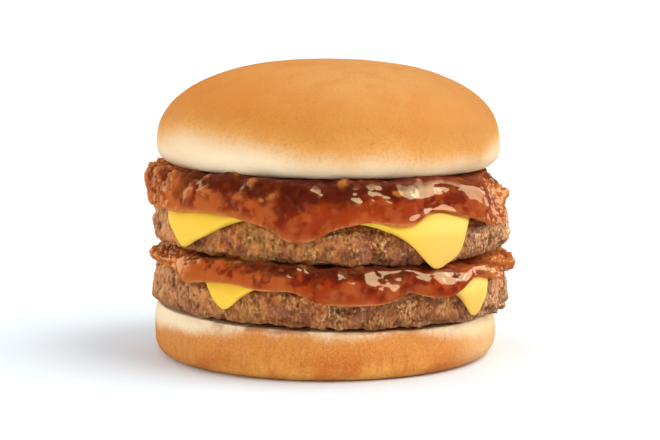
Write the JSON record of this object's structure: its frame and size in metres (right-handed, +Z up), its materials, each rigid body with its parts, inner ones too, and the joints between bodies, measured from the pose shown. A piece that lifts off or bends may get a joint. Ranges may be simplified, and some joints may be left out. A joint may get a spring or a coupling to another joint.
{
  "type": "double cheeseburger",
  "caption": "Round burger standing on its bun heel: beef patties, each under a drooping cheese slice and thick chili sauce, and a domed bun crown on top.",
  "frame": {"origin": "bottom centre: the middle of the burger's outline in plan, at the underside of the bun heel", "axes": "+Z up through the stack, -Y towards the side shown in the picture, +X to its right"},
  "size_m": [0.1076, 0.1078, 0.0855],
  "materials": {
    "bun": "matte",
    "beef": "satin",
    "cheese": "satin",
    "sauce": "gloss"
  },
  "bodies": {
    "root": {"bun_heel": "bun", "patty_lower": "beef", "cheese_lower": "cheese", "sauce_lower": "sauce", "patty_upper": "beef", "cheese_upper": "cheese", "sauce_upper": "sauce", "bun_crown": "bun"}
  },
  "joints": []
}
